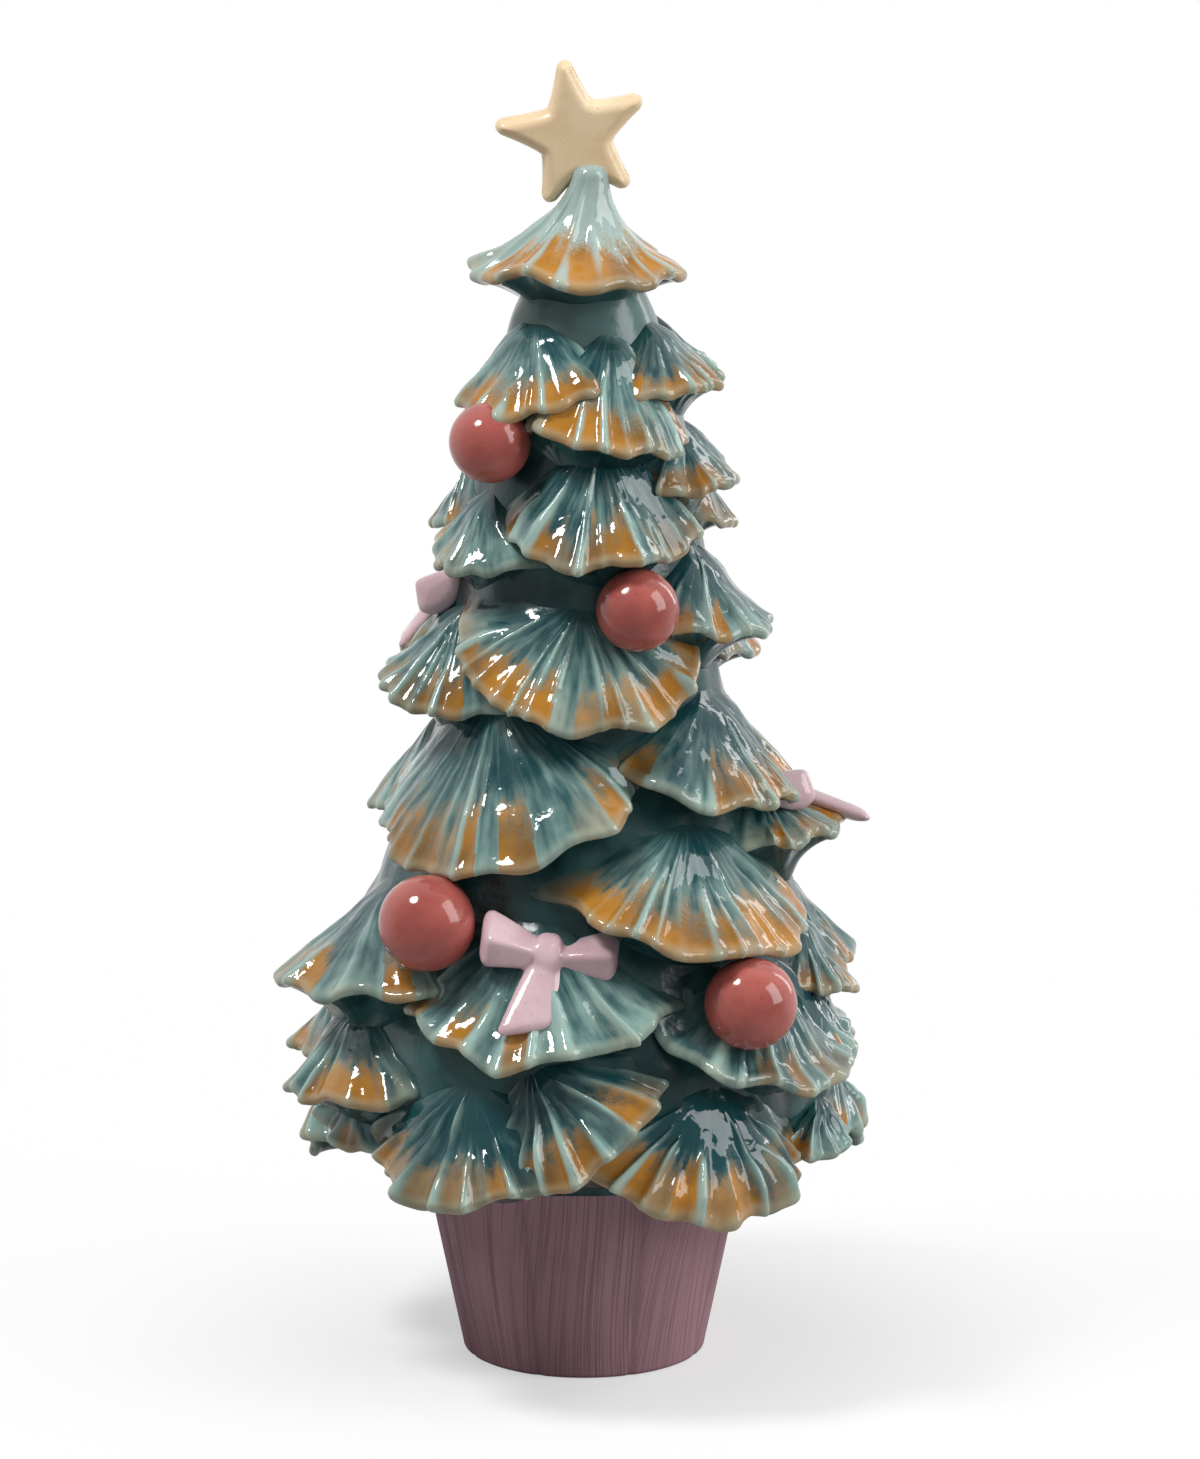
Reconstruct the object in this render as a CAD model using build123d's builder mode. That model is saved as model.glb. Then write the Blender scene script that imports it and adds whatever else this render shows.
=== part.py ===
from build123d import *
import math
import os

# A table-top Christmas tree in glazed porcelain. A hollow cast core stands in a staved pot,
# fluted boughs are luted to the core tier by tier, and a crown, a star, baubles and bows finish it.
# Front is -Y, +X is to the right, +Z is up, and the origin is the centre of the pot's base.

# Driving dimensions, in millimetres and degrees

slip_film = 0.1  # layer of slip between two luted pieces

pot_height = 30.0
pot_base_radius = 17.4
pot_rim_radius = 23.7
pot_wall = 3.0
pot_floor = 3.5
vent_diameter = 8.0
vent_set_back = 8.0  # of the vent behind the pot's axis
stave_count = 8
stave_groove_width = 1.2
stave_groove_depth = 0.3

core_wall = 3.0
spigot_depth = 6.0
shoulder_overhang = 1.3  # of the core's shoulder past the pot's rim
# height above the pot's rim and radius of the core's outside, from above the shoulder to the tip
core_outline = [
    (4.0, 32.0), (10.0, 36.0), (20.0, 36.5), (37.0, 31.0), (60.0, 22.0),
    (75.0, 19.0), (90.0, 17.0), (108.0, 14.5), (123.0, 10.5), (135.0, 5.0),
]

flute_pitch = 5.6  # between two ridges, along a lip
flute_depth = 1.2  # of the groove between two ridges, at a lip
lip_edge = 1.2  # thickness of a bough at its lip
root_depth = 1.0  # how far the tip of a bough starts inside the core
root_radius = 1.2  # of a bough at its tip
slope_span = 4.0  # stretch of the core's outline over which its slope is taken
fan_half_turn = 105.0  # how far a bough reaches round its own axis, each way
under_slope = 30.0  # rise of a bough's underside from the core to its lip
# share of the depth and of the lip's radius that the hollow flare of a bough passes through
flare = [(0.45, 0.40), (0.80, 0.77)]

# height of the crown's sections above the pot's rim, and their radii
crown_outline = [(146.0, 1.8), (139.0, 4.2), (135.4, 6.6), (131.8, 10.8), (128.2, 15.3)]
crown_flute_count = 16

star_height = 149.5  # of the star's centre, above the pot's rim
star_shift = -1.0  # of the star's centre, to the right
star_set_back = 0.6  # of the star's middle plane, behind the tree's axis
star_outer_radius = 11.6
star_inner_radius = 5.5
star_turn = 9.0  # lean of the star to the left
star_thickness = 5.0
star_face_share = 0.7  # size of the star's front and back against its middle
star_tip_rounding = 0.9

bow_width = 20.0
bow_loop_height = 7.4
bow_waist = 4.4
bow_knot_width = 5.0
bow_tail_length = 13.0
bow_tail_width = 5.2
bow_tail_spread = 22.0  # of each tail from straight down
bow_thickness = 3.4
bow_knot_rise = 1.0  # of the knot above the loops
bow_sink = 1.4  # how far a bow is pressed into what carries it
bow_corner_rounding = 0.6

# Each bough: azimuth from the front, height of its tip above the rim, lean to the right,
# length from tip to lip, half angle of its flare and tilt of its axis into the core
boughs = {
    "bough_2a": (-43, 125, 6, 17.6, 52, 30),
    "bough_2b": (65, 124, 0, 15.0, 51, 19),
    "bough_2c": (22, 124, -7, 21.0, 41, 20),
    "bough_2d": (122, 124, 0, 16.0, 52, 22),
    "bough_2e": (-150, 122, 0, 17.0, 52, 24),
    "bough_3a": (67, 110, 2, 13.8, 52, 17),
    "bough_3b": (10, 109, 0, 21.5, 48, 20),
    "bough_3c": (-60, 100, 0, 14.5, 51, 17),
    "bough_3d": (125, 104, 0, 16.0, 52, 20),
    "bough_3e": (178, 106, 0, 16.0, 52, 20),
    "bough_3f": (-118, 104, 0, 16.0, 52, 20),
    "bough_4a": (69, 92, -4, 18.3, 53, 12),
    "bough_4b": (-1, 85.5, -3, 21.0, 71, 43),
    "bough_4c": (-70, 83, -8, 19.0, 52, 11),
    "bough_4d": (128, 86, 0, 19.0, 53, 18),
    "bough_4e": (-174, 88, 0, 19.0, 53, 18),
    "bough_4f": (-116, 86, 0, 18.0, 53, 18),
    "bough_5a": (-41, 72, 6, 29.0, 57, 34),
    "bough_5b": (63, 72, -6, 23.0, 60, 27),
    "bough_5c": (86, 56, -5, 17.0, 63, 13),
    "bough_5d": (132, 66, 4, 24.0, 54, 24),
    "bough_5e": (-172, 68, 0, 24.0, 54, 24),
    "bough_5f": (-115, 66, -4, 20.5, 54, 24),
    "bough_6a": (39, 55, -9, 25.5, 59, 32),
    "bough_6b": (-74, 44, 8, 25.5, 53, 20),
    "bough_6c": (80, 37, -3, 14.0, 49, 24),
    "bough_6d": (116, 41, 0, 21.0, 52, 26),
    "bough_6e": (168, 45, 0, 26.0, 54, 28),
    "bough_6f": (-136, 44, 0, 26.0, 54, 28),
    "bough_7a": (-15, 44, 1, 26.7, 52, 37),
    "bough_7b": (54, 35, -7, 25.0, 57, 39),
    "bough_7c": (71, 27, -3, 12.5, 49, 24),
    "bough_7d": (-67, 27, 4, 19.5, 52, 26),
    "bough_7e": (128, 27, 0, 22.0, 53, 30),
    "bough_7f": (178, 28, 0, 22.0, 53, 30),
    "bough_7g": (-118, 27, 0, 21.0, 53, 30),
    "bough_8a": (-26, 20, 5, 21.0, 58, 33),
    "bough_8b": (-13, 23, 36, 20.0, 56, 38),
    "bough_8c": (31, 19, -6, 22.5, 57, 30),
    "bough_8d": (69, 12, 5, 11.0, 51, 15),
    "bough_8e": (-61, 16, -15, 12.0, 50, 22),
    "bough_8f": (107, 15, 0, 18.0, 52, 22),
    "bough_8g": (152, 14, 0, 18.0, 52, 22),
    "bough_8h": (-158, 15, 0, 19.0, 52, 22),
    "bough_8i": (-106, 14, 0, 18.0, 52, 22),
}

# Each bauble: azimuth, height above the rim, radius and distance of its centre from the core
baubles = {
    "bauble_upper_left": (-44, 106.7, 5.8, 4.4),
    "bauble_middle": (20, 84.1, 5.9, 4.6),
    "bauble_lower_left": (-39, 38.8, 6.9, 5.4),
    "bauble_lower_right": (37, 28.2, 6.6, 5.7),
    "bauble_back_upper": (152, 96.0, 5.9, 4.6),
    "bauble_back_middle": (-143, 60.0, 6.4, 5.0),
    "bauble_back_lower": (142, 33.0, 6.8, 5.6),
}

# Each bow: the bough that carries it, its place round that bough's axis and along its length, and its twist
bows = {
    "bow_front": ("bough_7a", -29, 0.37, -21),
    "bow_left": ("bough_4f", -10, 0.40, 0),
    "bow_right": ("bough_5c", -22, 0.42, 0),
    "bow_back": ("bough_6e", 0, 0.50, 0),
}

shoulder_radius = pot_rim_radius + shoulder_overhang


def core_radius(height):
    """Radius of the core at a height, on the straight line between two points of its outline."""
    outline = [(0.0, shoulder_radius), *core_outline]
    for (low, low_radius), (high, high_radius) in zip(outline, outline[1:]):
        if height <= high:
            share = (height - low) / (high - low)
            return low_radius + share * (high_radius - low_radius)
    return outline[-1][1]


def core_point(azimuth, height):
    """A point on the core, with the directions out of it, down along it and to the right."""
    angle = math.radians(azimuth)
    outward = Vector(math.sin(angle), -math.cos(angle), 0)
    right = Vector(math.cos(angle), math.sin(angle), 0)
    below = core_radius(height - slope_span / 2)
    above = core_radius(height + slope_span / 2)
    slope = (below - above) / slope_span
    down = (outward * slope - Vector(0, 0, 1)).normalized()
    out = (outward + Vector(0, 0, slope)).normalized()
    point = outward * core_radius(height) + Vector(0, 0, pot_height + height)
    return point, out, down, right


def bough_plane(azimuth, height, lean, tilt):
    """The plane across a bough's own axis at its tip, with X away from the core."""
    point, out, down, right = core_point(azimuth, height)
    lean_angle = math.radians(lean)
    tilt_angle = math.radians(tilt)
    along = down * math.cos(lean_angle) + right * math.sin(lean_angle)
    axis = along * math.cos(tilt_angle) - out * math.sin(tilt_angle)
    away = out * math.cos(tilt_angle) + along * math.sin(tilt_angle)
    return Plane(origin=point - out * root_depth, x_dir=away, z_dir=axis)


def fan_points(radius, lip_radius):
    """A fluted arc about the bough's axis, whose flutes shrink with the radius."""
    turn = math.radians(fan_half_turn)
    flutes = max(4, round(2 * turn * lip_radius / flute_pitch))
    groove = 1 - flute_depth / lip_radius
    points = []
    for step in range(2 * flutes + 1):
        angle = -turn + step * turn / flutes
        reach = radius * (groove if step % 2 else 1.0)
        points.append((reach * math.cos(angle), reach * math.sin(angle)))
    return points


def skirt_points(radius, lip_radius):
    """A closed fluted ring for the crown, whose flutes shrink with the radius."""
    groove = 1 - flute_depth / lip_radius
    points = []
    for step in range(2 * crown_flute_count):
        angle = step * math.pi / crown_flute_count
        reach = radius * (groove if step % 2 else 1.0)
        points.append((reach * math.cos(angle), reach * math.sin(angle)))
    return points


def neighbours(solid):
    """The finished pieces whose boxes share space with a solid."""
    box = solid.bounding_box()
    near = []
    for other, rest in finished.values():
        gap = max(
            max(box.min.X, rest.min.X) - min(box.max.X, rest.max.X),
            max(box.min.Y, rest.min.Y) - min(box.max.Y, rest.max.Y),
            max(box.min.Z, rest.min.Z) - min(box.max.Z, rest.max.Z),
        )
        if gap < 0:
            near.append(other)
    return near


def keep(name, solid):
    """Label a finished piece and write it."""
    solid.label = name
    export_step(solid, f"parts/{name}.step")


def keep_and_remember(name, solid):
    """Keep a piece, and remember it with its box for the pieces that are set against it."""
    keep(name, solid)
    finished[name] = (solid, solid.bounding_box())


finished = {}
os.makedirs("parts", exist_ok=True)

# Pot: a tapered cast cup with a vent in its floor and grooves between the staves

pot_slope = (pot_rim_radius - pot_base_radius) / pot_height
pot_bore_at_floor = pot_base_radius + pot_slope * pot_floor - pot_wall
pot_bore_at_rim = pot_rim_radius - pot_wall

with BuildPart() as pot:
    with BuildSketch(Plane.XZ):
        with BuildLine():
            Polyline(
                (0, 0),
                (pot_base_radius, 0),
                (pot_rim_radius, pot_height),
                (pot_bore_at_rim, pot_height),
                (pot_bore_at_floor, pot_floor),
                (0, pot_floor),
                close=True,
            )
        make_face()
    revolve(axis=Axis.Z)
    with Locations((0, vent_set_back, pot_floor)):
        Hole(radius=vent_diameter / 2, depth=pot_floor)
    for stave in range(stave_count):
        angle = (stave + 0.5) * 360 / stave_count - 90
        for level, radius in ((0, pot_base_radius), (pot_height, pot_rim_radius)):
            with BuildSketch(Plane.XY.offset(level).rotated((0, 0, angle))):
                with BuildLine():
                    Polyline(
                        (radius - stave_groove_depth, 0),
                        (radius + stave_groove_depth, stave_groove_width),
                        (radius + stave_groove_depth, -stave_groove_width),
                        close=True,
                    )
                make_face()
        loft(mode=Mode.SUBTRACT)
keep("pot", pot.part)

# Core: a hollow cast cone whose spigot stands in the pot's rim

spigot_radius = pot_bore_at_rim - pot_slope * spigot_depth - slip_film
spigot_bore = spigot_radius - core_wall
shoulder = pot_height + slip_film
outside = [(radius, pot_height + height) for height, radius in core_outline]
inside = [(radius - core_wall, pot_height + height) for height, radius in core_outline[1:-1]]

with BuildPart() as core:
    with BuildSketch(Plane.XZ):
        with BuildLine():
            Polyline(
                (spigot_bore, pot_height - spigot_depth),
                (spigot_radius, pot_height - spigot_depth),
                (spigot_radius, shoulder),
                (shoulder_radius, shoulder),
                *outside,
                (0, pot_height + core_outline[-1][0]),
                (0, pot_height + core_outline[-2][0] + core_wall),
                *reversed(inside),
                (spigot_bore, pot_height + core_wall),
                close=True,
            )
        make_face()
    revolve(axis=Axis.Z)
keep("tree_core", core.part)

# Room that the core and the pot take out of everything luted to them

with BuildPart() as core_room:
    with BuildSketch(Plane.XZ):
        with BuildLine():
            Polyline(
                (0, 0),
                (pot_base_radius + slip_film, 0),
                (pot_rim_radius + slip_film, pot_height),
                (shoulder_radius + slip_film, pot_height),
                *[(radius + slip_film, level) for radius, level in outside],
                (0, pot_height + core_outline[-1][0] + slip_film),
                close=True,
            )
        make_face()
    revolve(axis=Axis.Z)

# Crown: a fluted skirt all the way round the tip of the core

crown_lip_height, crown_lip_radius = crown_outline[-1]
crown_seat_height = crown_lip_height - lip_edge - math.tan(math.radians(under_slope)) * crown_lip_radius / 2

with BuildPart() as crown:
    for height, radius in crown_outline:
        with BuildSketch(Plane.XY.offset(pot_height + height)):
            with BuildLine():
                Polyline(*skirt_points(radius, crown_lip_radius), close=True)
            make_face()
    with BuildSketch(Plane.XY.offset(pot_height + crown_lip_height - lip_edge)):
        with BuildLine():
            Polyline(*skirt_points(crown_lip_radius - lip_edge / 2, crown_lip_radius), close=True)
        make_face()
    with BuildSketch(Plane.XY.offset(pot_height + crown_seat_height)):
        with BuildLine():
            Polyline(*skirt_points(crown_lip_radius / 2, crown_lip_radius), close=True)
        make_face()
    loft(ruled=True)
    add(core_room.part, mode=Mode.SUBTRACT)
keep_and_remember("crown", crown.part)

# Boughs: fluted fans, each lofted along its own axis and cut back to the core and the boughs above


def bough_sections(length, half_angle):
    """Depth along the bough's axis and radius of each section, from its tip to its underside."""
    lip_radius = length * math.sin(math.radians(half_angle))
    lip_depth = length * math.cos(math.radians(half_angle))
    under_radius = lip_radius / 3
    under_depth = (lip_radius - under_radius) * math.tan(math.radians(under_slope))
    flared = [(depth * lip_depth, reach * lip_radius) for depth, reach in flare]
    return [
        (0, root_radius),
        *flared,
        (lip_depth, lip_radius),
        (lip_depth + lip_edge, lip_radius - lip_edge / 2),
        (lip_depth + lip_edge + under_depth, under_radius),
    ]


for name, (azimuth, height, lean, length, half_angle, tilt) in boughs.items():
    plane = bough_plane(azimuth, height, lean, tilt)
    lip_radius = length * math.sin(math.radians(half_angle))
    with BuildPart() as bough:
        for depth, radius in bough_sections(length, half_angle):
            with BuildSketch(plane.offset(depth)):
                with BuildLine():
                    Polyline(*fan_points(radius, lip_radius), close=True)
                make_face()
        loft(ruled=True)
        add(core_room.part, mode=Mode.SUBTRACT)
        for above in neighbours(bough.part):
            add(above, mode=Mode.SUBTRACT)
    keep_and_remember(name, bough.solids().sort_by(SortBy.VOLUME)[-1])

# Star: a puffed five-pointed star whose lower notch sits on the crown's tip

star_plane = Plane(
    origin=(star_shift, star_set_back, pot_height + star_height), x_dir=(1, 0, 0), z_dir=(0, -1, 0)
)
star_levels = [
    (-star_thickness / 2, star_face_share),
    (0, 1.0),
    (star_thickness / 2, star_face_share),
]

with BuildPart() as star:
    for level, share in star_levels:
        with BuildSketch(star_plane.offset(level)) as star_section:
            with BuildLine():
                Polyline(
                    *[
                        Vector(share * (star_inner_radius if point % 2 else star_outer_radius), 0).rotate(
                            Axis.Z, 90 + star_turn + 36 * point
                        )
                        for point in range(10)
                    ],
                    close=True,
                )
            make_face()
            tips = star_section.vertices().sort_by_distance((0, 0, 0))[-5:]
            fillet(tips, share * star_tip_rounding)
    loft(ruled=True)
    add(crown.part, mode=Mode.SUBTRACT)
keep("star", star.solids().sort_by(SortBy.VOLUME)[-1])

# Baubles: glazed balls pressed against the core

for name, (azimuth, height, radius, stand_off) in baubles.items():
    point, out, down, right = core_point(azimuth, height)
    with BuildPart() as bauble:
        with Locations(Plane(origin=point + out * stand_off, x_dir=right, z_dir=out)):
            Sphere(radius)
        add(core_room.part, mode=Mode.SUBTRACT)
        for beside in neighbours(bauble.part):
            add(beside, mode=Mode.SUBTRACT)
    keep_and_remember(name, bauble.solids().sort_by(SortBy.VOLUME)[-1])

# Bows: two loops, a knot and two tails, pressed on a bough


def bough_seat(bough_name, turn, reach):
    """The plane that lies on a bough, with Y up along it, at a turn and a share of its depth."""
    azimuth, height, lean, length, half_angle, tilt = boughs[bough_name]
    plane = bough_plane(azimuth, height, lean, tilt)
    sections = bough_sections(length, half_angle)
    top = sections[: len(flare) + 2]
    depth = reach * top[-1][0]
    for (start, start_radius), (end, end_radius) in zip(top, top[1:]):
        if start <= depth <= end:
            flare_rate = (end_radius - start_radius) / (end - start)
            radius = start_radius + (depth - start) * flare_rate
    angle = math.radians(turn)
    away = plane.x_dir * math.cos(angle) + plane.y_dir * math.sin(angle)
    normal = (away - plane.z_dir * flare_rate).normalized()
    up = (away * flare_rate + plane.z_dir).normalized() * -1
    point = plane.origin + plane.z_dir * depth + away * radius
    return Plane(origin=point - normal * bow_sink, x_dir=up.cross(normal), z_dir=normal)


for name, (bough_name, turn, reach, twist) in bows.items():
    seat = bough_seat(bough_name, turn, reach).rotated((0, 0, twist))
    with BuildPart() as bow:
        with BuildSketch(seat) as ribbon:
            with BuildLine():
                Polyline(
                    (-bow_width / 2, bow_loop_height / 2),
                    (0, bow_waist / 2),
                    (bow_width / 2, bow_loop_height / 2),
                    (bow_width / 2, -bow_loop_height / 2),
                    (0, -bow_waist / 2),
                    (-bow_width / 2, -bow_loop_height / 2),
                    close=True,
                )
            make_face()
            for side in (-1, 1):
                with Locations(Location((0, 0), side * bow_tail_spread)):
                    Rectangle(bow_tail_width, bow_tail_length, align=(Align.CENTER, Align.MAX))
            fillet(ribbon.vertices(), bow_corner_rounding)
        extrude(amount=bow_thickness)
        with BuildSketch(seat):
            RectangleRounded(bow_knot_width, bow_waist + bow_knot_rise, bow_corner_rounding)
        extrude(amount=bow_thickness + bow_knot_rise)
        add(core_room.part, mode=Mode.SUBTRACT)
        for beside in neighbours(bow.part):
            add(beside, mode=Mode.SUBTRACT)
    keep(name, bow.solids().sort_by(SortBy.VOLUME)[-1])
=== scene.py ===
# %% [markdown]
# # A porcelain Christmas tree
# The real ornament is a hollow slip-cast cone in a pot, with fluted fans of soft clay luted round
# it as boughs, and with baubles, bows and a star pressed on before it is glazed and fired. The
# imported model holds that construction. This lesson gives every piece its modelled surface and its
# glaze.

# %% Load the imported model
import math
import bpy
import numpy as np
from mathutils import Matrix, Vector
from mathutils.bvhtree import BVHTree


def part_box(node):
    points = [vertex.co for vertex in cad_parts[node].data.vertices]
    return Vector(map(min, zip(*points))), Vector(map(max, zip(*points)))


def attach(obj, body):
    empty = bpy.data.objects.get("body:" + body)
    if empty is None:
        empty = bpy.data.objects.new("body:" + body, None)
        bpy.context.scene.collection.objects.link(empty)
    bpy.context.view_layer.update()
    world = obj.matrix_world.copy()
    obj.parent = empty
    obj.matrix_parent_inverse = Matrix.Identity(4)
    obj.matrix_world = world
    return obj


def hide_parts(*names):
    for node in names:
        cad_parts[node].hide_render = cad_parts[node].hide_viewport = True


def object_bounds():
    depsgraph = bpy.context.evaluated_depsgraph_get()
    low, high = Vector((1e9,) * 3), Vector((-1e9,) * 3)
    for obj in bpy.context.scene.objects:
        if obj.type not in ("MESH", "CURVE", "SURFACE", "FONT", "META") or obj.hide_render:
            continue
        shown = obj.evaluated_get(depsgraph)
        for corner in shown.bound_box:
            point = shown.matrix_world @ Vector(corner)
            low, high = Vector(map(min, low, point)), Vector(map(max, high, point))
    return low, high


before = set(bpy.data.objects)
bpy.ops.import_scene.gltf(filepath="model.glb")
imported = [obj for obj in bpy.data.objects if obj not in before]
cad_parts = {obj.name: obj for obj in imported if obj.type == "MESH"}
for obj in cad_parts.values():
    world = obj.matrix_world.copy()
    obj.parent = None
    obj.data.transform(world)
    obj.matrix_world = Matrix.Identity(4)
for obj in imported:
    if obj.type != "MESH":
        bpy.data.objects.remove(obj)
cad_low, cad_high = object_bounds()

MM = 0.001
scene = bpy.context.scene
scene.view_settings.view_transform = "Standard"
cad_size = [round(side / MM, 1) for side in cad_high - cad_low]
print("CAD nodes:", len(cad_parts), "size in mm:", cad_size)

# %% [markdown]
# ## The camera
# A product photographer stands well back with a long lens, so that the tree's sides stay parallel.
# The ellipse of the pot's base gives the height of the lens, and the tree's height in the picture
# gives its length. A short lens from nearby would make the sides lean.

# %% Camera
photo_height = 1459
focal_length_in_pixels = 10034
sensor_size = 36.0
lens_place = Vector((0, -1.4, 0.438))
lens_target = Vector((0.002335, 0, 0.09221))

camera_lens = bpy.data.cameras.new("camera")
camera_lens.sensor_width = sensor_size
camera_lens.lens = focal_length_in_pixels / photo_height * sensor_size
camera = bpy.data.objects.new("camera", camera_lens)
camera.location = lens_place
camera.rotation_euler = (lens_target - lens_place).to_track_quat("-Z", "Y").to_euler()
scene.collection.objects.link(camera)
scene.camera = camera
print("lens of", round(camera_lens.lens, 1), "mm")

# %% [markdown]
# ## Shader sums as Python
# A node tree is a picture of a formula. One small class wraps a socket, so that `1 - mask * 0.5`
# adds the Math nodes by itself, and one method makes every other kind of node. Colours go through
# Mix nodes instead, because a Math node turns a colour grey.


# %% A socket that takes part in sums
class Value:
    """A shader socket that can stand in a Python expression."""

    def __init__(self, board, socket):
        self.board = board
        self.socket = socket

    def __add__(self, other):
        return self.board.sum("ADD", self, other)

    def __radd__(self, other):
        return self.board.sum("ADD", other, self)

    def __sub__(self, other):
        return self.board.sum("SUBTRACT", self, other)

    def __rsub__(self, other):
        return self.board.sum("SUBTRACT", other, self)

    def __mul__(self, other):
        return self.board.sum("MULTIPLY", self, other)

    def __rmul__(self, other):
        return self.board.sum("MULTIPLY", other, self)

    def fade(self, low, high):
        """Zero below low, one above high, and a smooth rise between them."""
        return self.board.node(
            "ShaderNodeMapRange", {"interpolation_type": "SMOOTHSTEP"}, {"Value": self, 1: low, 2: high}
        )


# %% A board of nodes
class Board:
    """The node tree of a finish."""

    def __init__(self, tree):
        self.tree = tree

    def feed(self, socket, value):
        """Link a value to a socket, or set a plain number or colour on it."""
        if isinstance(value, Value):
            self.tree.links.new(value.socket, socket)
        else:
            socket.default_value = value

    def node(self, kind, settings=None, sockets=None, output=0):
        """Add a node with its settings, then its sockets, and hand back one of its outputs."""
        made = self.tree.nodes.new(kind)
        for name, setting in (settings or {}).items():
            setattr(made, name, setting)
        for key, value in (sockets or {}).items():
            self.feed(made.inputs[key], value)
        return Value(self, made.outputs[output])

    def sum(self, operation, first, second):
        return self.node("ShaderNodeMath", {"operation": operation}, {0: first, 1: second})

    def mix(self, factor, first, second):
        return self.node("ShaderNodeMix", {"data_type": "RGBA"}, {0: factor, 6: first, 7: second}, 2)

    def attribute(self, name):
        return self.node("ShaderNodeAttribute", {"attribute_name": name}, output="Fac")

    def noise(self, place, scale, detail=2.0):
        return self.node("ShaderNodeTexNoise", {}, {"Vector": place, "Scale": scale, "Detail": detail})

    def raise_surface(self, shader, height, strength, distance):
        """Let a height roughen a surface through its shader's Normal."""
        sockets = {"Strength": strength, "Distance": distance, "Height": height}
        self.feed(shader.inputs["Normal"], self.node("ShaderNodeBump", {}, sockets, "Normal"))


def colour(red, green, blue):
    """A colour as a picture editor gives it, 0 to 255, turned into the linear values of a shader."""
    linear = []
    for part in (red / 255, green / 255, blue / 255):
        linear.append(part / 12.92 if part <= 0.04045 else ((part + 0.055) / 1.055) ** 2.4)
    return (*linear, 1.0)


def new_finish(name, constants):
    """A material with its shader's fixed values set, its board of nodes and that shader."""
    material = bpy.data.materials.new(name)
    material.use_nodes = True
    shader = material.node_tree.nodes["Principled BSDF"]
    for socket, value in constants.items():
        shader.inputs[socket].default_value = value
    return material, Board(material.node_tree), shader


# %% [markdown]
# ## Light and floor
# The picture has a small round lamp high on the left, whose reflection is the hard white dot on
# every bauble, and a wide soft box on the right, which is the pale window beside it. A weak panel
# and a strip fill the left side and the rim. The floor is pale and fades into a white world, so
# that only the tree's shadow shows on it, and it gives back less light than it shows, so that the
# undersides stay dark. A picture of a room could light it too, but its reflections couldn't be set
# one by one.


# %% World
def white_room(level):
    """A world that looks white, with a white backdrop in reflections, and lights matt surfaces less."""
    world = bpy.data.worlds.new("white_room")
    world.use_nodes = True
    board = Board(world.node_tree)
    ray = world.node_tree.nodes.new("ShaderNodeLightPath")
    direction = board.node("ShaderNodeTexCoord", output="Generated")
    backdrop = board.node("ShaderNodeSeparateXYZ", {}, {0: direction}, "Y").fade(-0.4, 0.3)
    seen = Value(board, ray.outputs["Is Camera Ray"])
    seen = board.sum("MAXIMUM", seen, Value(board, ray.outputs["Is Glossy Ray"]) * backdrop)
    seen = board.sum("MAXIMUM", seen, Value(board, ray.outputs["Is Transmission Ray"]))
    background = world.node_tree.nodes["Background"]
    background.inputs["Color"].default_value = (1, 1, 1, 1)
    board.feed(background.inputs["Strength"], level + (1 - level) * seen)
    scene.world = world


white_room(level=0.28)
print("world:", scene.world.name)


# %% Lamps
def lamp(name, direction, distance, size, watts, shape="RECTANGLE"):
    """An area lamp that looks at the middle of the tree from a direction."""
    middle = (cad_low + cad_high) / 2
    data = bpy.data.lights.new(name, "AREA")
    data.shape = shape
    data.size, data.size_y = size
    data.energy = watts
    made = bpy.data.objects.new(name, data)
    made.location = middle + Vector(direction).normalized() * distance
    made.rotation_euler = (middle - made.location).to_track_quat("-Z", "Y").to_euler()
    scene.collection.objects.link(made)


lamp("round_lamp", (-0.47, -0.20, 0.86), 1.0, (0.27, 0.27), 6.5, "DISK")
lamp("soft_box", (0.84, -0.28, 0.46), 1.0, (0.5, 0.8), 6.2)
lamp("left_panel", (-0.8, -0.6, 0.3), 1.2, (0.7, 0.9), 0.3)
lamp("rim_strip", (0.75, 0.62, 0.35), 1.0, (0.15, 0.7), 1.5)


# %% Floor
paper_seen = (0.94, 0.94, 0.94, 1)  # what the camera sees of the paper
paper_felt = (0.45, 0.45, 0.45, 1)  # what lights the tree from below
glow_at_foot, glow_gain = 0.5, 0.4
foot, open_floor = 0.02, 0.09  # distances between which the glow grows


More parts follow.
